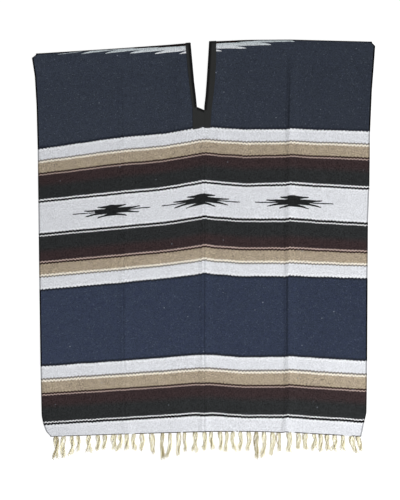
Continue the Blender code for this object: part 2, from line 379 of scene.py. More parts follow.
def field(tree, kind, output, sockets=None, **settings):
    return Field(add(tree, kind, sockets, **settings).outputs[output])


MIX_FACTOR, MIX_A, MIX_B, MIX_RESULT = 0, 6, 7, 2


def mixed(tree, factor, first, second, blend="MIX"):
    """A colour part way from the first to the second."""
    sockets = {MIX_FACTOR: factor, MIX_A: first, MIX_B: second}
    return add(tree, "ShaderNodeMix", sockets, data_type="RGBA", blend_type=blend).outputs[MIX_RESULT]


def ramp(tree, at, stops, interpolation):
    """A colour read from stops of (place, colour)."""
    node = add(tree, "ShaderNodeValToRGB", {0: at})
    found = node.color_ramp
    found.interpolation = interpolation
    while len(found.elements) < len(stops):
        found.elements.new(1)
    for element, (place, colour) in zip(found.elements, stops):
        element.position = place
        element.color = colour
    return node.outputs["Color"]


def vector(x, y=0.0, z=0.0):
    return add(x.id_data, "ShaderNodeCombineXYZ", {0: x, 1: y, 2: z}).outputs[0]


def noise(at, scale, detail=2.0, roughness=0.5):
    """Soft noise about 0, from -1 to 1."""
    sockets = {"Vector": at, "Scale": scale, "Detail": detail, "Roughness": roughness}
    return field(at.id_data, "ShaderNodeTexNoise", "Fac", sockets) * 2 - 1


def chance(at):
    """One random number from 0 to 1 for each whole place."""
    return field(at.id_data, "ShaderNodeTexWhiteNoise", "Value", {"Vector": at})


def linear(red, green, blue):
    """A colour as the eye sees it, from 0 to 255, made linear."""
    def part(value):
        value = value / 255
        return value / 12.92 if value <= 0.04045 else ((value + 0.055) / 1.055) ** 2.4

    return (part(red), part(green), part(blue), 1.0)


# What the sockets of a group carry, where it isn't a number
SOCKET_KINDS = {
    "Colour": "NodeSocketColor",
    "Place": "NodeSocketVector",
    "Geometry": "NodeSocketGeometry",
    "Finish": "NodeSocketMaterial",
}


def group(name, inputs, outputs, kind="ShaderNodeTree"):
    """An empty node group with its sockets, and its input and output nodes."""
    made = bpy.data.node_groups.new(name, kind)
    for labels, way in ((inputs, "INPUT"), (outputs, "OUTPUT")):
        for label in labels:
            socket = SOCKET_KINDS.get(label, "NodeSocketFloat")
            made.interface.new_socket(label, in_out=way, socket_type=socket)
    start = made.nodes.new("NodeGroupInput")
    end = made.nodes.new("NodeGroupOutput")
    return made, start.outputs, end.inputs


def place_group(tree, made, sockets):
    node = add(tree, "ShaderNodeGroup")
    node.node_tree = made
    for key, value in sockets.items():
        give(node.inputs[key], value)
    return node.outputs


def weave_group():
    """Weft-faced plain weave: each float covers one warp, and every second column is half a float off.

    Across and Along come out snapped to the middle of the float that they lie on, so that a pattern
    read from them changes colour one float at a time.
    """
    made, start, end = group(
        "weft_faced_weave",
        ("Across", "Along", "Warp Pitch", "Float Height"),
        ("Across", "Along", "Height", "Chance", "Streak"),
    )
    across = Field(start["Across"]) / start["Warp Pitch"]
    column = across.floor()
    odd = column.maths("FLOORED_MODULO", 2.0) * 0.5
    along = Field(start["Along"]) / start["Float Height"] + odd
    row = along.floor()
    aside = (across - column) * 2 - 1
    upward = (along - row) * 2 - 1
    crown = -(aside * aside) * 0.55 + 1
    edge = (-(upward * upward) * 0.9 + 1).maths("SQRT")
    give(end["Across"], (column + 0.5) * start["Warp Pitch"])
    give(end["Along"], (row - odd + 0.5) * start["Float Height"])
    give(end["Height"], crown * edge)
    give(end["Chance"], chance(vector(column, row)))
    give(end["Streak"], noise(vector(column * 0.11, row * 1.7), 1.0, 1.0))
    return made


def heather_group():
    """Wool yarn of mixed fibres: lighter and darker floats, soft clouds, and a slight turn of hue."""
    made, start, end = group(
        "heathered_yarn", ("Colour", "Place", "Chance", "Streak", "Mottle", "Cloud"), ("Colour",)
    )
    cloud = noise(start["Place"], 14.0, 3.0)
    warmth = noise(start["Place"], 90.0, 2.0)
    clump = noise(start["Place"], 330.0, 2.0)
    mottle = Field(start["Chance"]) - 0.5 + Field(start["Streak"]) * 0.6 + clump * 2
    sockets = {
        "Hue": warmth * 0.012 + 0.5,
        "Saturation": warmth * 0.1 + 1,
        "Value": mottle * start["Mottle"] + cloud * start["Cloud"] + 1,
        "Color": start["Colour"],
    }
    give(end["Colour"], add(made, "ShaderNodeHueSaturation", sockets).outputs["Color"])
    return made


def lint_group():
    """Specks of pale lint, scattered in cells, most of them empty."""
    made, start, end = group("lint", ("Place", "Cells", "Size", "Share"), ("Mask",))
    sockets = {"Vector": start["Place"], "Scale": start["Cells"], "Randomness": 1.0}
    cells = add(made, "ShaderNodeTexVoronoi", sockets).outputs
    near = Field(cells["Distance"]) / start["Cells"]
    picked = add(made, "ShaderNodeSeparateColor", {0: cells["Color"]}).outputs
    shown = Field(picked["Red"]).below(start["Share"])
    give(end["Mask"], near.below(Field(picked["Green"]) * start["Size"]) * shown)
    return made


# Colours

INDIGO = linear(51, 57, 69)
LOWER_INDIGO = linear(51, 59, 78)
DEEP_INDIGO = linear(33, 37, 47)
WHITE = linear(223, 225, 230)
BRIGHT_WHITE = linear(247, 248, 251)
EDGE_WHITE = linear(236, 238, 242)
BLUSH = linear(190, 199, 203)
GREY = linear(128, 124, 119)
CREAM_LINE = linear(240, 232, 217)
SAND = linear(169, 155, 135)
MAROON = linear(54, 42, 43)
DARK_MAROON = linear(42, 24, 20)
ROSE = linear(190, 168, 160)
BLACK = linear(41, 43, 44)
DEEP_BLACK = linear(10, 10, 11)
MOTIF_BLACK = linear(31, 33, 34)
LINT = linear(156, 164, 177)
# painted shadow of the cloth's edge, as a dark line along the hem
HEM_PAINTED_SHADOW = linear(68, 64, 64)
TAPE_BLACK = linear(33, 34, 34)
RIB_LIGHT_AND_MOTTLE = linear(50, 51, 51)
TAPE_FOLD_SHADE = linear(8, 8, 8)
THREAD_BLACK = linear(34, 35, 36)
THREAD_SHEEN = linear(56, 56, 58)
YARN_GOLD = linear(150, 132, 78)
YARN_CREAM = linear(255, 251, 226)
YARN_ROOT = linear(104, 90, 62)

# Pattern of the wool, in metres

PIXEL = 0.0028
HEM_LINE_LEVEL = 0.8432
HEM_LINE_GAPS = -0.15
WARP_PITCH = 0.0024
FLOAT_HEIGHT = 0.0017
WEAVE_DEEP = 0.00045
WAVER = 0.0016
TOOTH = 0.0098
TOOTH_DEEP = 0.0017
TOOTH_UNEVEN = 0.0006
TOOTH_RUN = 0.03
RIM = 0.0045
STRIPE_REPEAT = 146.8 * PIXEL
LOWER_STRIPES = 227.8 * PIXEL
LOWER_SCALE = 0.952
MOTIF_LEVEL = STRIPE_REPEAT / 2
STRIPES = (
    (-2.2, DEEP_INDIGO),
    (0.0, EDGE_WHITE),
    (2.2, WHITE),
    (11.6, GREY),
    (13.2, CREAM_LINE),
    (14.9, SAND),
    (25.4, DARK_MAROON),
    (27.3, ROSE),
    (28.4, MAROON),
    (54.1, BRIGHT_WHITE),
    (55.15, DEEP_BLACK),
    (57.6, EDGE_WHITE),
    (59.4, WHITE),
)
STRIPE_START = -4
STRIPE_STOP = 62
DEEP_FROM = -2.2
SAND_FROM = 14.9
SAND_TO = 25.4
FADE_FROM = 35
FADE_TO = 43.5
FADE_STOP = 54
MOTIF_CENTRES = (-0.2563, -0.007, 0.253)

# One bar of a motif to either side: its tip, how high it lies at the centre and the tip, and how thick
Bar = namedtuple("Bar", "tip inner outer thick")
LONG_BAR = Bar(109, 0, -1, 1.8)
UPPER_BARS = (Bar(78, 3.3, 7.3, 6.2), Bar(39, 12.2, 14.6, 6))
LOWER_BARS = (Bar(75, 1.8, 9.9, 5.4), Bar(42, 9.4, 16.4, 4.2))
BAR_TIP = 1.35
COMB_UNEVEN = 0.006
COMB_ROUGH = 0.0012
WORN_CENTRE = -0.318
WORN_HALF = 0.013
WORN_HIGH = 0.0035
WORN_ABOVE = 0.06

# Rows of pointed bars on the shoulder fold: how far the first one reaches, and each one more
Rows = namedtuple("Rows", "first_tip tip_step first_row row_step slant back_cut")
SHOULDER_ROWS = Rows(0.057, 0.0665, 0.211, 0.0075, -0.012, 0.034)
CORE_ROWS = Rows(0.115, 0.069, 0.2357, 0.0015, -0.055, 0.01)
SHOULDER_CENTRE = -0.008
CORE_CENTRE = -0.012
BARS_END = 0.2535
BLUSH_REACH = (0.214, 0.238)

# How much the yarn varies, and how its lint shows
MOTTLE = 0.21
SAND_MOTTLE = 0.25
DARK_MOTTLE = 0.35
DARK_BELOW = 0.034
INDIGO_MOTTLE = 0.13
CLOUD = 0.06
LINT_CELLS = 90.0
LINT_SIZE = 0.002
LINT_SHARE = 0.05
SPECK_LIGHT = 0.45
FLECK_SHARE = 0.015
FLECK_LIGHT = 0.11
# Painted shade in the wool's colour: on indigo towards the right, in the grooves between floats, along
# the side edges, at the fold's crown and along the creases
INDIGO_SHADE_TO_RIGHT = 0.3
GROOVE_PAINTED_SHADE = 0.35
RIM_PAINTED_SHADE = 0.5
RIM_SHADE_ON_INDIGO = 0.45
CROWN_PAINTED_SHADE = 0.4
CROWN_SHADE_ON_INDIGO = 0.4
CROWN_SHADE_REACH = (0.006, 0.002)
CREASE_SHADES = (0.16, 0.18, 0.42)
CREASE_SHADE_ON_INDIGO = 0.75
CREASE_SHADE_REACH = (0.0036, 0.0008)

# Tape and fringe yarn, in metres

RIB_PITCH = 0.0011
THREAD_PITCH = 0.0016
TWILL_DEEP = 0.00015
TWIST_TURN = 0.004
TWIST_PLIES = 2
TWIST_DEEP = 0.0001


def grey(value):
    return (value, value, value, 1.0)


def stripe_colour(tree, level):
    """The stripes, from how far a level is from the nearest indigo, and where indigo and sand lie."""
    upper = level.least(-level + STRIPE_REPEAT)
    lower = (level - LOWER_STRIPES) * LOWER_SCALE
    away = upper.most(lower) / PIXEL
    span = STRIPE_STOP - STRIPE_START
    stops = [(0.0, INDIGO)] + [((place - STRIPE_START) / span, colour) for place, colour in STRIPES]
    colour = ramp(tree, (away - STRIPE_START) / span, stops, "CONSTANT")
    fade = away.eased_between(FADE_FROM, FADE_TO) * away.below(FADE_STOP)
    colour = mixed(tree, fade, colour, BLACK)
    indigo = away.below(DEEP_FROM)
    colour = mixed(tree, indigo * level.above(MOTIF_LEVEL), colour, LOWER_INDIGO)
    sand = away.above(SAND_FROM) * away.below(SAND_TO)
    return colour, indigo, sand


def bar_mask(off, high, bar):
    """A bar that curves away from the middle and narrows to its tip."""
    part = off / (bar.tip * METRE)
    share = part * part
    axis = share * ((bar.outer - bar.inner) * METRE) + bar.inner * METRE
    half = -part * ((bar.thick - BAR_TIP) * METRE) + bar.thick * METRE
    return abs(high - axis).below(half) * part.below(1.0)


def comb_mask(across, level):
    """The three serrated motifs in the white band, with a worn patch in the left one."""
    high = level - MOTIF_LEVEL
    worn = noise(vector(across * 300, level * 420), 1.0, 1.0).above(WORN_ABOVE)
    worn = worn * abs(across - WORN_CENTRE).below(WORN_HALF) * abs(high).below(WORN_HIGH)
    high = high + noise(vector(across * 260, level * 260), 1.0, 1.0) * COMB_ROUGH
    across = across + noise(vector(across * 6, level * 300), 1.0, 1.0) * COMB_UNEVEN
    off = abs(across - MOTIF_CENTRES[0])
    for centre in MOTIF_CENTRES[1:]:
        off = off.least(abs(across - centre))
    found = bar_mask(off, high, LONG_BAR)
    for bars, outward in ((UPPER_BARS, -high), (LOWER_BARS, high)):
        for bar in bars:
            found = found.most(bar_mask(off, outward, bar))
    return found * (-worn + 1)


def serrated(off, above, bars):
    """Rows of pointed bars, each longer than the one below it, which slant down towards their tips."""
    rows = (above - bars.first_row + (off - bars.first_tip) * bars.slant) / bars.row_step
    row = rows.floor()
    part = rows - row
    tip = row * bars.tip_step + bars.first_tip - part * part * bars.back_cut
    return off.below(tip) * rows.above(0.0)


def shoulder_masks(across, level):
    """White bars of the diamond on the shoulder fold, and its dark core."""
    white = serrated(abs(across - SHOULDER_CENTRE), -level, SHOULDER_ROWS)
    core = serrated(abs(across - CORE_CENTRE), -level, CORE_ROWS)
    return white * (-level).below(BARS_END), core


def material(name, values):
    """A matte material, its tree, and its shader's sockets, some of which hold the values."""
    made = bpy.data.materials.new(name)
    made.use_nodes = True
    shader = made.node_tree.nodes["Principled BSDF"].inputs
    for key, value in {"Metallic": 0.0, "Specular IOR Level": 0.1, **values}.items():
        shader[key].default_value = value
    return made, made.node_tree, shader


def on_piece(tree):
    """Places in metres on the piece that is shown."""
    return add(tree, "ShaderNodeTexCoord").outputs["Object"]


def bump(tree, shader, height, depth):
    node = add(tree, "ShaderNodeBump", {"Height": height, "Distance": depth, "Strength": 1.0})
    give(shader["Normal"], node.outputs["Normal"])


def uv(tree, name):
    node = add(tree, "ShaderNodeSeparateXYZ", {0: add(tree, "ShaderNodeUVMap", uv_map=name).outputs[0]})
    return Field(node.outputs["X"]), Field(node.outputs["Y"])


def teeth(across, along):
    """The steps that each small group of warps gives to an edge between two colours."""
    tooth = across / TOOTH
    first = tooth.floor()
    uneven = chance(vector(first, (along / TOOTH_RUN).floor())) - 0.5
    return ((tooth - first).above(0.5) - 0.5) * TOOTH_DEEP + uneven * TOOTH_UNEVEN


def crease_line_shade(across, along, indigo):
    """Painted shade along the sharp line of each packing crease: how dark the cloth is painted there, and
    most on indigo.
    """
    shade = None
    for crease, dark in zip(CREASES, CREASE_SHADES):
        near = abs(across - crease.share * PATTERN_HALF * METRE).eased_between(*CREASE_SHADE_REACH)
        starts = crease.starts * METRE
        down = abs(along).eased_between(starts, starts + 3 * CREASE_EASE * METRE)
        line = near * down * dark
        shade = line if shade is None else shade.most(line)
    return shade * (indigo * CREASE_SHADE_ON_INDIGO + (1 - CREASE_SHADE_ON_INDIGO))


def striped_wool(weave, heather, lint):
    """Weft-faced wool with its stripes, serrated motifs, heathered yarn and lint."""
    values = {"Roughness": 0.9, "Sheen Weight": 0.03, "Sheen Roughness": 0.6}
    made, tree, shader = material("striped_wool", values)
    across, level = uv(tree, "stripes")
    along = uv(tree, "threads")[1]
    # hem: where a dark line of painted shadow runs along the hem's edge, broken between the tassels
    hem = level.above(HEM_LINE_LEVEL) * noise(vector(across * 25), 1.0, 2.0).above(HEM_LINE_GAPS)
    level = level + noise(vector(across * 24, along * 5), 1.0, 3.0) * WAVER
    sizes = {"Warp Pitch": WARP_PITCH, "Float Height": FLOAT_HEIGHT}
    toothed = level + teeth(across, along)
    woven = place_group(tree, weave, {"Across": across, "Along": toothed, **sizes})

    colour, indigo, sand = stripe_colour(tree, Field(woven["Along"]))
    colour = mixed(tree, comb_mask(across, level), colour, MOTIF_BLACK)
    white, core = shoulder_masks(across, level)
    blush = (-level).eased_between(*BLUSH_REACH)
    colour = mixed(tree, white, colour, mixed(tree, blush, WHITE, BLUSH))
    place = on_piece(tree)
    stained = noise(place, 120.0).eased_between(-0.1, 0.3)
    colour = mixed(tree, core, colour, mixed(tree, stained, DEEP_BLACK, DARK_MAROON))
    colour = mixed(tree, hem, colour, HEM_PAINTED_SHADOW)
    dark = field(tree, "ShaderNodeRGBToBW", "Val", {"Color": colour}).below(DARK_BELOW)

    sizes = {"Place": vector(across, along), "Cells": LINT_CELLS, "Size": LINT_SIZE, "Share": LINT_SHARE}
    specks = Field(place_group(tree, lint, sizes)["Mask"])
    flecks = Field(woven["Chance"]).above(1 - FLECK_SHARE) * indigo
    colour = mixed(tree, (specks * SPECK_LIGHT).most(flecks * FLECK_LIGHT), colour, LINT)
    mottle = sand * SAND_MOTTLE + dark * DARK_MOTTLE + indigo * INDIGO_MOTTLE + MOTTLE
    sockets = {"Colour": colour, "Place": place, "Mottle": mottle, "Cloud": CLOUD}
    sockets.update({label: woven[label] for label in ("Chance", "Streak")})
    colour = place_group(tree, heather, sockets)["Colour"]

    # painted shade in the grooves between the floats
    groove_shade = Field(woven["Height"]).eased_between(0.1, 0.75) * GROOVE_PAINTED_SHADE + (1 - GROOVE_PAINTED_SHADE)
    # painted shade along the side edges, strongest on indigo
    painted_rim_shade = abs(across).above(PATTERN_HALF * METRE - RIM) * (indigo * RIM_SHADE_ON_INDIGO + RIM_PAINTED_SHADE)
    # painted shade along the crown of the shoulder fold, strongest on indigo
    crown = abs(along).eased_between(*CROWN_SHADE_REACH) * (indigo * CROWN_SHADE_ON_INDIGO + CROWN_PAINTED_SHADE)
    # painted shade along the sharp line of each packing crease
    painted_crease_shade = crease_line_shade(across, along, indigo)
    # painted shade on indigo, darker towards the right where the lamp lights the cloth more
    indigo_painted_shade = indigo * across * INDIGO_SHADE_TO_RIGHT
    shade = groove_shade * (-painted_rim_shade + 1) * (-crown + 1) * (-painted_crease_shade + 1) * (-indigo_painted_shade + 1)
    give(shader["Base Color"], mixed(tree, 1.0, colour, vector(shade, shade, shade), "MULTIPLY"))
    fibre = noise(place, 1500.0, 2.0) * 0.12
    bump(tree, shader, Field(woven["Height"]) + fibre, WEAVE_DEEP)
    return made


def binding_tape():
    """Black twill tape: fine slanting ribs painted a little lighter where they stand up, as painted
    light, and painted shade on its folded edges.
    """
    made, tree, shader = material("black_twill_tape", {"Roughness": 0.85, "Sheen Weight": 0.1})
    across, along = uv(tree, "threads")
    rib = ((across + along) * (FULL_TURN / RIB_PITCH)).maths("SINE") * 0.5 + 0.5
    thread = ((across - along) * (FULL_TURN / THREAD_PITCH)).maths("SINE") * 0.25
    cloud = noise(on_piece(tree), 25.0, 3.0)
    # painted light on the ribs where they stand up, and a soft mottle
    colour = mixed(tree, rib * 0.35 + cloud * 0.15 + 0.4, TAPE_BLACK, RIB_LIGHT_AND_MOTTLE)
    # painted shade where the tape turns over the slit's edges and over the shoulder
    slit_fold_shade = abs(across).eased_between(0.0115, 0.005)
    shoulder_fold_shade = abs(along).eased_between(0.009, 0.003)
    colour = mixed(tree, slit_fold_shade.most(shoulder_fold_shade) * 0.95, colour, TAPE_FOLD_SHADE)
    give(shader["Base Color"], colour)
    bump(tree, shader, rib + thread, TWILL_DEEP)
    return made


def sewing_thread():
    """Black sewing thread, a little shinier than the tape."""
    made, tree, shader = material("black_sewing_thread", {"Roughness": 0.6})
    shade = noise(on_piece(tree), 800.0) * 0.5 + 0.5
    give(shader["Base Color"], mixed(tree, shade, THREAD_BLACK, THREAD_SHEEN))
    return made


def fringe_yarn():
    """Cream cotton warp yarn, with its plies twisted round each other."""
    made, tree, shader = material("cream_fringe_yarn", {"Roughness": 0.88, "Sheen Weight": 0.05})

    def read(label):
        return field(tree, "ShaderNodeAttribute", "Fac", attribute_name=label)

    twist = add(tree, "ShaderNodeAttribute", attribute_name="twist").outputs["Vector"]
    parts = add(tree, "ShaderNodeSeparateXYZ", {0: twist})
    cosine, sine, length = (Field(parts.outputs[axis]) for axis in "XYZ")
    turned = length * (FULL_TURN * TWIST_PLIES / TWIST_TURN)
    ply = cosine * turned.maths("COSINE") + sine * turned.maths("SINE")
    place = on_piece(tree)
    cloud = noise(place, 60.0, 3.0)
    fibre = noise(place, 900.0, 2.0)
    # painted shade: darker in the groove of each ply's twist, and darker still on the yarns marked
    # shaded, which stand in for the tassel's shadowed outlines
    shade = ply.eased_between(-0.9, 0.5) * 0.15 + cloud * 0.2 + fibre * 0.1 + 0.95
    shade = shade - read("gold") * 0.3 - read("shaded") * 0.75
    at_root = read("share").eased_between(0.14, 0.03) * 0.45
    colour = mixed(tree, at_root, mixed(tree, shade, YARN_GOLD, YARN_CREAM), YARN_ROOT)
    give(shader["Base Color"], colour)
    bump(tree, shader, ply * 0.5 + fibre * 0.25, TWIST_DEEP)
    return made


def floor_finish():
    """A plain pale floor."""
    return material("pale_floor", {
        "Roughness": 0.9,
        "Base Color": grey(0.2),
        "Specular IOR Level": 0.0,
        "Emission Color": grey(1.0),
        "Emission Strength": FLOOR_GLOW,
    })[0]


# Pieces

def put(name, data):
    """Adds an object to the scene."""
    made = bpy.data.objects.new(name, data)
    bpy.context.scene.collection.objects.link(made)
    return made


def mesh_from(bm, name):
    mesh = bpy.data.meshes.new(name)
    bm.to_mesh(mesh)
    bm.free()
    return mesh


def show(name, mesh, finish):
    mesh.materials.clear()
    mesh.materials.append(finish)
    return put(name, mesh)


def grid_mesh(name, points, maps):
    """A mesh of quads through a grid of points, with UV maps given at the same points."""
    rows, count = points.shape[:2]
    bm = bmesh.new()
    bmesh.ops.create_grid(bm, x_segments=count - 1, y_segments=rows - 1, size=1)
    mesh = mesh_from(bm, name)
    mesh.vertices.foreach_set("co", points.reshape(-1))
    corner = np.zeros(len(mesh.loops), int)
    mesh.loops.foreach_get("vertex_index", corner)
    for label, places in maps.items():
        layer = mesh.uv_layers.new(name=label)
        layer.uv.foreach_set("vector", places.reshape(-1, 2)[corner].reshape(-1))
    mesh.shade_smooth()
    return mesh


def thicken(made, wall, edge):
    """Gives a sheet its wall, with its edges rounded."""
    shell = made.modifiers.new("wall", "SOLIDIFY")
    shell.thickness = wall * METRE
    shell.offset = 0
    shell.use_even_offset = True
    rounded = made.modifiers.new("edge", "BEVEL")
    rounded.width = edge * METRE
    rounded.segments = 2
    rounded.limit_method = "ANGLE"
    rounded.angle_limit = math.radians(60)


ROW_STEP = 7.6
FOLD_CELLS = 6
SELVEDGE = 3
CREASE_NEAR = 20
CREASE_SIDE = (-CREASE_NEAR, -13, -8, -5, -2.5, 0, 2.5, 5, 8, 13)
SLIT_CELLS = 3
SLIT_NEAR = 20
SLIT_FAR = 62
SLIT_NARROWS = 6
SLIT_TO_CREASE = 60
CLOTH_ROUND = 0.7


def steps(start, stop, cells):
    return list(np.linspace(start, stop, cells, endpoint=False))


def spaced(*stations):
    """Places from each station to the next, in as many cells as it names. The last is left out."""
    found = []
    for (start, cells), (stop, _) in zip(stations, stations[1:]):
        found += steps(start, stop, cells)
    return found


def half_rows(cut_end):
    """Places along one half, from the first turn of the fold to the hem."""
    above = round((cut_end - FOLD_REACH) / ROW_STEP)
    below = round((HEM - cut_end) / ROW_STEP)
    runs = spaced((FOLD_REACH, above), (cut_end, below), (HEM, 0)) + [HEM]
    turns = steps(0, FOLD_QUARTER, FOLD_CELLS)[1:]
    return np.array(turns + [along_of(run) for run in runs])


def cloth_columns(run):
    """Places across the cloth at one run, closer together at the creases and the edges."""
    left, right = section("left", run), section("right", run)
    left_crease = -left * LEFT_CREASE.share
    right_crease = right * RIGHT_CREASE.share
    centre = right * MIDDLE_CREASE.share
    turn = smooth((run - NECK_END) / SLIT_TO_CREASE)
    start, middle_of_slit, stop = (
        place + (at_crease - place) * turn
        for place, at_crease in (
            (neck_line("slit_left", run) - TAPE_LIFT, centre - SLIT_NARROWS),
            (NECK_MIDDLE, centre),
            (neck_line("slit_right", run) + TAPE_LIFT, centre + SLIT_NARROWS),
        )
    )
    places = spaced((left, 1), (left + SELVEDGE, 27), (left_crease - CREASE_NEAR, 0))
    places += [left_crease + step for step in CREASE_SIDE]
    places += spaced(
        (left_crease + CREASE_NEAR, 18),
        (start - SLIT_FAR, 6),
        (start - SLIT_NEAR, 5),
        (start, SLIT_CELLS),
        (middle_of_slit, SLIT_CELLS),
        (stop, 5),
        (stop + SLIT_NEAR, 6),
        (stop + SLIT_FAR, 19),
        (right_crease - CREASE_NEAR, 0),
    )
    places += [right_crease + step for step in CREASE_SIDE]
    places += spaced((right_crease + CREASE_NEAR, 26), (right - SELVEDGE, 1), (right, 0))
    return np.array(places + [right])


def cloth_piece(finish):
    """The woven length, folded at the shoulders, with the slit left out."""
    cut_end = SLIT_END + TAPE_LIFT
    front = half_rows(cut_end)
    back_scale = np.where(run_of(front) > cut_end, (HEM - BACK_SHORTER) / HEM, 1)
    along = np.concatenate((-(front * back_scale)[::-1], [0], front))
    runs = run_of(along)
    columns = np.array([cloth_columns(run) for run in runs])
    place = along[:, None] + slit_slant(columns, runs[:, None]) * np.sign(along)[:, None]
    u = columns / half_width(columns, run_of(place)) * PATTERN_HALF * METRE
    maps = {
        "stripes": np.stack((u, stripe_level(columns, place) * METRE), -1),
        "threads": np.stack((u, place * METRE), -1),
    }
    mesh = grid_mesh("poncho_cloth", placed(columns, place), maps)
    first = int(np.argmin(np.abs(columns[len(front)] - neck_line("slit_left", FOLD_REACH) + TAPE_LIFT)))

    def in_slit(vert):
        row, column = divmod(vert.index, columns.shape[1])
        return runs[row] <= cut_end + 0.01 and first <= column <= first + 2 * SLIT_CELLS

    bm = bmesh.new()
    bm.from_mesh(mesh)
    bmesh.ops.recalc_face_normals(bm, faces=bm.faces)
    bm.faces.ensure_lookup_table()
    if bm.faces[-1].normal.z < 0:
        bmesh.ops.reverse_faces(bm, faces=bm.faces)
    hole = [face for face in bm.faces if all(in_slit(vert) for vert in face.verts)]
    bmesh.ops.delete(bm, geom=hole, context="FACES")
    bm.to_mesh(mesh)
    bm.free()
    made = show("poncho_cloth", mesh, finish)
    thicken(made, WALL, CLOTH_ROUND)
    return made


LEG_SHARES = (0, 0.04, 0.3, 0.55, 0.8)
FOLD_TURNS = np.linspace(math.pi / 2, -math.pi / 2, 9)
INNER_SHARES = (0.3, 0.65, 1)
FOLD_TOP = len(LEG_SHARES) + len(FOLD_TURNS) // 2
FLAT_ASIDE = 15
BUTT_GAP = 0.05
TAPE_ROUND = 0.25


def tape_profile(outer, edge, into):
    """Tape folded over a cut edge: the place, way out and place across the tape of each point."""
    profile = [(outer + (edge - outer) * share, LEG_OUT) for share in LEG_SHARES]
    profile += [(edge - into * math.cos(t) * FOLD_BULGE, LEG_OUT * math.sin(t)) for t in FOLD_TURNS]
    profile += [(edge + into * INNER_LEG * share, -LEG_OUT) for share in INNER_SHARES]
    widths = np.cumsum([0] + [math.dist(a, b) for a, b in zip(profile, profile[1:])])
    return [(*point, width) for point, width in zip(profile, widths - widths[FOLD_TOP])]


def tape_piece(name, rings, finish):
    """A tape lofted through rings of (x, along, out, width). Its fold ends where rings get short."""
    bm = bmesh.new()
    layer = bm.loops.layers.uv.new("threads")
    made = []
    for ring in rings:
        x, along, out, width = np.array(ring).T
        threads = np.stack((width, along), -1) * METRE
        made.append([(bm.verts.new(point), at) for point, at in zip(placed(x, along, out), threads)])
    for ring, after in zip(made, made[1:]):
        for i in range(min(len(ring), len(after)) - 1):
            corners = (ring[i], ring[i + 1], after[i + 1], after[i])
            face = bm.faces.new([vert for vert, _ in corners])
            for loop, (_, thread) in zip(face.loops, corners):
                loop[layer].uv = thread
    bmesh.ops.recalc_face_normals(bm, faces=bm.faces)
    mesh = mesh_from(bm, name)
    mesh.shade_smooth()
    piece = show(name, mesh, finish)
    thicken(piece, TAPE, TAPE_ROUND)
    return piece


def side_tape(name, side, finish):
    """Tape folded over one long edge of the slit, flat beside the block at each end."""
    slit, outer = ("slit_left", "tape_left") if side < 0 else ("slit_right", "tape_right")
    slit_end = SLIT_END + slit_slant(neck_line(slit, SLIT_END), SLIT_END) + TAPE / 2
    runs = spaced((FOLD_REACH, 34), (slit_end, 1), (slit_end + 2, 9), (BLOCK_END, 0)) + [BLOCK_END]
    front = steps(0, FOLD_QUARTER, 4)[1:] + [along_of(run) for run in runs]
    rings = []
    for along in [-place for place in reversed(front)] + [0] + front:
        run = run_of(along)
        edge = neck_line(slit, run) + side * (TAPE / 2 + FOLD_BULGE)
        profile = tape_profile(neck_line(outer, run), edge, side)
        if run > slit_end + 1:
            flat_edge = neck_line(slit, run) + side * BUTT_GAP / 2
            leg = profile[:len(LEG_SHARES)] + [(flat_edge, LEG_OUT, 0)]
            profile = [(x, out, width - FLAT_ASIDE) for x, out, width in leg]
        rings.append([(x, along, out, width) for x, out, width in profile])
    return tape_piece(name, rings, finish)


NOTCH_X = -1.4
NOTCH_DEEP = 7
NOTCH_WIDE = 9


def end_tape(name, side, finish):
    """The block of tape below the slit, folded over the slit's slanting end."""
    left = neck_line("slit_left", SLIT_END) + BUTT_GAP / 2
    right = neck_line("slit_right", SLIT_END) - BUTT_GAP / 2
    rings = []
    for x in np.linspace(left, right, 13):
        edge = SLIT_END + slit_slant(x, SLIT_END) + TAPE / 2 + FOLD_BULGE
        notch = NOTCH_DEEP * max(1 - abs(x - NOTCH_X) / NOTCH_WIDE, 0)
        profile = tape_profile(BLOCK_END - notch, edge, 1)
        rings.append([(x, side * along_of(run), out, width) for run, out, width in profile])
    return tape_piece(name, rings, finish)


def path_mesh(name, paths):
    """Open paths as edges, with named numbers on their points."""
    points, edges = [], []
    found = {label: [] for label in paths[0][1]}
    for path, values in paths:
        edges += [(i, i + 1) for i in range(len(points), len(points) + len(path) - 1)]
        points += [tuple(point) for point in path]
        for label, value in values.items():
            found[label] += list(value) if np.ndim(value) else [value] * len(path)
    mesh = bpy.data.meshes.new(name)
    mesh.from_pydata(points, edges, [])
    for label, values in found.items():
        mesh.attributes.new(label, "FLOAT", "POINT").data.foreach_set("value", values)
    return mesh


def grown(name, host, tree, values, finish):
    """What a Geometry Nodes tree makes of a host mesh, as a plain mesh."""
    source = put(name + "_paths", host)
    modifier = source.modifiers.new("grown", "NODES")
    modifier.node_group = tree
    sockets = {item.name: item.identifier for item in tree.interface.items_tree if item.in_out == "INPUT"}
    for label, value in {**values, "Finish": finish}.items():
        modifier[sockets[label]] = value
    depsgraph = bpy.context.evaluated_depsgraph_get()
    mesh = bpy.data.meshes.new_from_object(source.evaluated_get(depsgraph))
    mesh.name = name
    bpy.data.objects.remove(source)
    return show(name, mesh, finish)


def curve_of(tree, start, key, value):
    """The host mesh's paths as curves, with points one length apart or with one count of points."""
    curve = add(tree, "GeometryNodeMeshToCurve", {"Mesh": start["Geometry"]}).outputs["Curve"]
    sockets = {"Curve": curve, key: value}
    return add(tree, "GeometryNodeResampleCurve", sockets, mode=key.upper()).outputs["Curve"]


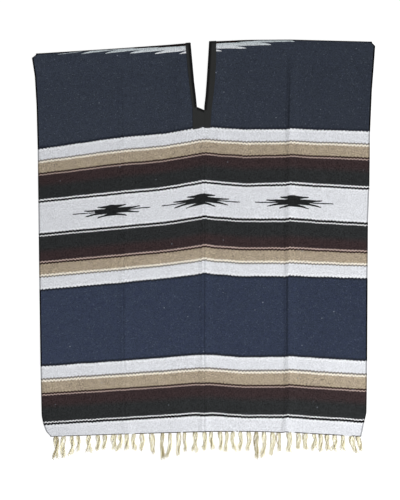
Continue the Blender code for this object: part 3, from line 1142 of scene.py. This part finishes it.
def stitch_tree():
    """Stitches as long beads, laid end to end with a small gap along each path."""
    tree, start, end = group(
        "sewn_stitches",
        ("Geometry", "Pitch", "Length", "Thickness", "Finish"),
        ("Geometry",),
        "GeometryNodeTree",
    )
    curve = curve_of(tree, start, "Length", start["Pitch"])
    tangent = add(tree, "GeometryNodeInputTangent").outputs["Tangent"]
    turned = add(tree, "FunctionNodeAlignRotationToVector", {"Vector": tangent}, axis="Z")
    bead = add(tree, "GeometryNodeMeshUVSphere", {"Segments": 8, "Rings": 5, "Radius": 0.5})
    wide = start["Thickness"]
    beads = add(tree, "GeometryNodeInstanceOnPoints", {
        "Points": curve,
        "Instance": bead.outputs["Mesh"],
        "Rotation": turned.outputs["Rotation"],
        "Scale": vector(wide, wide, start["Length"]),
    })
    finish_tree(tree, beads.outputs["Instances"], start, end)
    return tree


def finish_tree(tree, geometry, start, end):
    """Makes instances real, shades them smooth and gives them their material."""
    real = add(tree, "GeometryNodeRealizeInstances", {"Geometry": geometry}).outputs["Geometry"]
    smoothed = add(tree, "GeometryNodeSetShadeSmooth", {"Geometry": real}).outputs["Geometry"]
    sockets = {"Geometry": smoothed, "Material": start["Finish"]}
    give(end["Geometry"], add(tree, "GeometryNodeSetMaterial", sockets).outputs["Geometry"])


STITCH_INSET = 3
STITCH_SUNK = 0.3
STITCH_PITCH = 0.0042
STITCH_LENGTH = 0.0034
STITCH_THICKNESS = 0.0007


def stitch_paths():
    """Lines of stitches along the tapes' outer edges and across the foot of each block."""
    foot = along_of(BLOCK_END - STITCH_INSET)
    front = [0] + steps(FOLD_QUARTER, foot, 60) + [foot]
    along = np.array([-place for place in reversed(front[1:])] + front)
    lines = [
        (neck_line(column, run_of(along)) - side * STITCH_INSET, along)
        for column, side in (("tape_left", -1), ("tape_right", 1))
    ]
    run = BLOCK_END - STITCH_INSET - NOTCH_DEEP
    left = neck_line("tape_left", run) + STITCH_INSET * 2
    right = neck_line("tape_right", run) - STITCH_INSET * 2
    across = np.linspace(left, right, 12)
    lines += [(across, np.full(len(across), side * along_of(run))) for side in (1, -1)]
    on_tape = LEG_OUT + TAPE / 2 - STITCH_SUNK
    return [(placed(x, line, np.full(len(x), on_tape)), {}) for x, line in lines]


# Random numbers of the fringe, each with its own seed
Draw = namedtuple("Draw", "low high seed")
PHASE_DRAW = Draw(0.0, 1.0, 3)
TURNS_DRAW = Draw(0.7, 1.3, 4)
ASIDE_DRAW = Draw(-0.1, 0.1, 11)
GIRTH_DRAW = Draw(0.75, 1.15, 5)
LENGTH_DRAW = Draw(-0.005, 0.004, 6)
LOOSE_TURN_DRAW = Draw(0.0, 1.0, 8)
FRAY_DRAW = Draw(1.0, 4.0, 9)
ROOT_GIRTH = 0.4
BELLY_GIRTH = 0.45
TIP_GIRTH = 0.3
TASSEL_FLAT = 0.25
PLY_FLAT = 0.8


def fringe_tree():
    """Tassels of yarns that wind loosely round a path, from a narrow root to a splayed end."""
    tree, start, end = group(
        "wound_tassels",
        ("Geometry", "Ply Radius", "Ply Pitch", "Turns", "Stray", "Finish"),
        ("Geometry",),
        "GeometryNodeTree",
    )
    ply_radius = Field(start["Ply Radius"])

    def read(label):
        sockets = {"Name": label}
        return field(tree, "GeometryNodeInputNamedAttribute", "Attribute", sockets, data_type="FLOAT")

    def drawn(who, draw):
        sockets = {"ID": who, "Seed": draw.seed, 2: draw.low, 3: draw.high}
        return field(tree, "FunctionNodeRandomValue", 1, sockets, data_type="FLOAT")

    def copied(curve, amount):
        sockets = {"Geometry": curve, "Amount": amount}
        made = add(tree, "GeometryNodeDuplicateElements", sockets, domain="SPLINE").outputs
        return made["Geometry"], Field(made["Duplicate Index"])

    def moved(curve, key, place):
        sockets = {"Geometry": curve, key: place}
        return add(tree, "GeometryNodeSetPosition", sockets).outputs["Geometry"]

    def captured(curve, values):
        node = add(tree, "GeometryNodeCaptureAttribute")
        for label in values:
            node.capture_items.new("FLOAT", label)
        for label, value in {"Geometry": curve, **values}.items():
            give(node.inputs[label], value)
        return node.outputs

    def stored(mesh, label, value, kind):
        sockets = {"Geometry": mesh, "Name": label, "Value": value}
        node = add(tree, "GeometryNodeStoreNamedAttribute", sockets, data_type=kind, domain="POINT")
        return node.outputs["Geometry"]

    curve = curve_of(tree, start, "Count", YARN_POINTS)
    curve, number = copied(curve, read("yarns"))
    share = read("share")
    tassel = read("tassel")
    yarn = add(tree, "GeometryNodeCurveOfPoint").outputs["Curve Index"]

    # The first two yarns lie at the sides of the tassel, and the others wind round it
    outer = number.below(2.0)
    inner = -outer + 1
    shaded = number.maths("FLOORED_MODULO", 2.0) * 0.35 * inner + outer
    turns = share * (drawn(tassel, TURNS_DRAW) * start["Turns"])
    wound = drawn(tassel, PHASE_DRAW) + number / read("yarns") + turns
    aside = number * 0.5 + turns * 0.4 + drawn(tassel, ASIDE_DRAW)
    angle = (wound * inner + aside * outer) * FULL_TURN
    opening = share.eased_between(0.0, 0.25) * BELLY_GIRTH + share.eased_between(0.7, 1.0) * TIP_GIRTH
    opening = opening + ROOT_GIRTH
    girth = read("girth") * opening * drawn(yarn, GIRTH_DRAW) * (outer * 0.3 + 0.75)
    position = add(tree, "GeometryNodeInputPosition").outputs["Position"]
    sockets = {"Vector": position, "W": Field(yarn) * 7.3, "Scale": 70.0, "Detail": 1.0}
    stray = add(tree, "ShaderNodeTexNoise", sockets, noise_dimensions="4D").outputs["Color"]
    stray = Field(add(tree, "ShaderNodeSeparateXYZ", {0: stray}).outputs["X"]) - 0.5
    sideways = angle.maths("COSINE") * girth + stray * (share * start["Stray"])
    longer = share * drawn(yarn, LENGTH_DRAW)
    curve = moved(curve, "Offset", vector(sideways, longer, angle.maths("SINE") * girth * TASSEL_FLAT))

    curve, ply = copied(curve, PLIES)
    parameter = add(tree, "GeometryNodeSplineParameter").outputs
    turn = ply / PLIES + Field(parameter["Length"]) / start["Ply Pitch"]
    turn = (turn + drawn(yarn, LOOSE_TURN_DRAW) * share.eased_between(0.75, 1.0)) * FULL_TURN
    frayed = (share.eased_between(0.72, 1.0) * drawn(yarn, FRAY_DRAW) + 1.1) * ply_radius
    offset = vector(turn.maths("COSINE") * frayed, 0.0, turn.maths("SINE") * frayed * PLY_FLAT)
    curve = moved(curve, "Offset", offset)
    at = add(tree, "ShaderNodeSeparateXYZ", {0: position}).outputs
    on_floor = vector(at["X"], at["Y"], Field(at["Z"]).most(ply_radius * 1.1))
    curve = moved(curve, "Position", on_floor)

    taper = (-share.eased_between(0.8, 1.0) * 0.5 + 1) * (-shaded * 0.45 + 1)
    along = captured(curve, {"Length": parameter["Length"], "Shaded": shaded})
    circle = add(tree, "GeometryNodeCurvePrimitiveCircle", {"Resolution": 5, "Radius": 1.0})
    around = captured(circle.outputs["Curve"], {"Turn": parameter["Factor"]})
    mesh = add(tree, "GeometryNodeCurveToMesh", {
        "Curve": along["Geometry"],
        "Profile Curve": around["Geometry"],
        "Scale": taper * ply_radius,
        "Fill Caps": True,
    }).outputs["Mesh"]
    turn = Field(around["Turn"]) * FULL_TURN
    twist = vector(turn.maths("COSINE"), turn.maths("SINE"), along["Length"])
    mesh = stored(mesh, "twist", twist, "FLOAT_VECTOR")
    mesh = stored(mesh, "shaded", along["Shaded"], "FLOAT")
    finish_tree(tree, mesh, start, end)
    return tree


PATH_POINTS = 14
SWAY = 1.6
THICK_GIRTH = 7.5
GIRTH_MORE = 3.5
FEWEST_YARNS = 4
SPREAD_OF_YARN = 6


def tassel_paths(side):
    """The path of each tassel from inside the hem to its tip, with its girth and number of yarns."""
    level = middle(0, along_of(HEM))[1]
    hem, shorter, drop = (
        (HEM, 0, TASSEL_DROP) if side > 0 else (HEM - BACK_SHORTER, BACK_FRINGE_SHORTER, BACK_TASSEL_DROP)
    )
    share = np.linspace(0, 1, PATH_POINTS)
    paths = []
    for start, stop in zip(FRINGE_RUNS, FRINGE_RUNS[1:]):
        for tassel in TASSELS:
            x = start + tassel.offset
            if x > stop - RUN_CLEAR:
                continue
            root = middle(x, side * (along_of(hem) - ROOT_INSIDE))
            number = len(paths)
            sway = SWAY * np.sin(share * (5 + number % 3) + number * 2.1)
            bend = tassel.lean * share ** 1.5 + sway * smooth(share * 2)
            reach = level - tassel.tip + shorter
            path = np.stack((
                root[0] + bend,
                root[1] + (reach - root[1]) * share,
                root[2] - drop * smooth(share * 1.3),
            ), -1)
            thick = tassel.spread > THICK_SPREAD
            values = {
                "share": share,
                "girth": (THICK_GIRTH if thick else tassel.spread / 2 + GIRTH_MORE) * METRE,
                "yarns": FEWEST_YARNS + tassel.spread // SPREAD_OF_YARN,
                "tassel": number,
                "gold": 1.0 if thick else 0.0,
            }
            paths.append((path * METRE, values))
    return paths


def fringe_piece(name, side, tree, finish):
    sizes = {"Ply Radius": PLY_RADIUS, "Ply Pitch": PLY_PITCH, "Turns": YARN_TURNS, "Stray": YARN_STRAY}
    return grown(name, path_mesh(name, tassel_paths(side)), tree, sizes, finish)


# The floor, the light and the camera

FLOOR_SIZE = 12.0
VIEW_CENTRE = (-0.0098, -0.002)
VIEW_LENGTH = 1.4
LENS = 100
SENSOR = 36
FLOOR_GLOW = 0.93
SKY_LIGHT = 0.375
KEY_POWER = 139
KEY_SIZE = 1.2
KEY_PLACE = (2.0, -1.75, 2.9)


def floor_piece(finish):
    bm = bmesh.new()
    bmesh.ops.create_grid(bm, x_segments=1, y_segments=1, size=FLOOR_SIZE / 2)
    show("floor", mesh_from(bm, "floor"), finish)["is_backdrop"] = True


def studio():
    """Even light from all round, and a large soft lamp low on the right, towards the hem."""
    world = bpy.data.worlds.new("studio")
    world.use_nodes = True
    sky = world.node_tree.nodes["Background"].inputs
    sky["Color"].default_value = grey(1.0)
    sky["Strength"].default_value = SKY_LIGHT
    bpy.context.scene.world = world
    bpy.context.scene.view_settings.view_transform = "Standard"
    lamp = bpy.data.lights.new("key", "AREA")
    lamp.energy = KEY_POWER
    lamp.shape = "DISK"
    lamp.size = KEY_SIZE
    key = put("key", lamp)
    key.location = KEY_PLACE
    key.rotation_euler = (-Vector(KEY_PLACE)).to_track_quat("-Z", "Y").to_euler()


def camera():
    """Straight down, from far enough for the sides to stay parallel."""
    data = bpy.data.cameras.new("camera")
    data.lens = LENS
    data.sensor_width = SENSOR
    made = put("camera", data)
    made.location = (*VIEW_CENTRE, VIEW_LENGTH * LENS / SENSOR)
    bpy.context.scene.camera = made


def main():
    camera()
    studio()
    floor_piece(floor_finish())

    wool = striped_wool(weave_group(), heather_group(), lint_group())
    tape = binding_tape()
    thread = sewing_thread()
    yarn = fringe_yarn()

    cloth = cloth_piece(wool)
    tapes = {
        "neck_tape_left": side_tape("left_tape", -1, tape),
        "neck_tape_right": side_tape("right_tape", 1, tape),
        "neck_end_front": end_tape("front_end_tape", 1, tape),
        "neck_end_back": end_tape("back_end_tape", -1, tape),
    }
    paths = path_mesh("tape_stitches", stitch_paths())
    sizes = {"Pitch": STITCH_PITCH, "Length": STITCH_LENGTH, "Thickness": STITCH_THICKNESS}
    stitches = grown("tape_stitches", paths, stitch_tree(), sizes, thread)
    tassels = fringe_tree()
    fringes = {
        "fringe_front": fringe_piece("front_fringe", 1, tassels, yarn),
        "fringe_back": fringe_piece("back_fringe", -1, tassels, yarn),
    }

    slots = (("woven_wool", {"cloth": cloth}), ("binding_tape", tapes), ("fringe_yarn", fringes))
    for slot, pieces in slots:
        for node, piece in pieces.items():
            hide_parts(node)
    on_cloth = [stitches, *tapes.values(), *fringes.values()]
    for piece in [cloth] + on_cloth:
        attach(piece, "root")

    sizes = {"cad": [list(corner) for corner in CAD_BOX], "visual": [list(c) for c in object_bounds()]}


main()
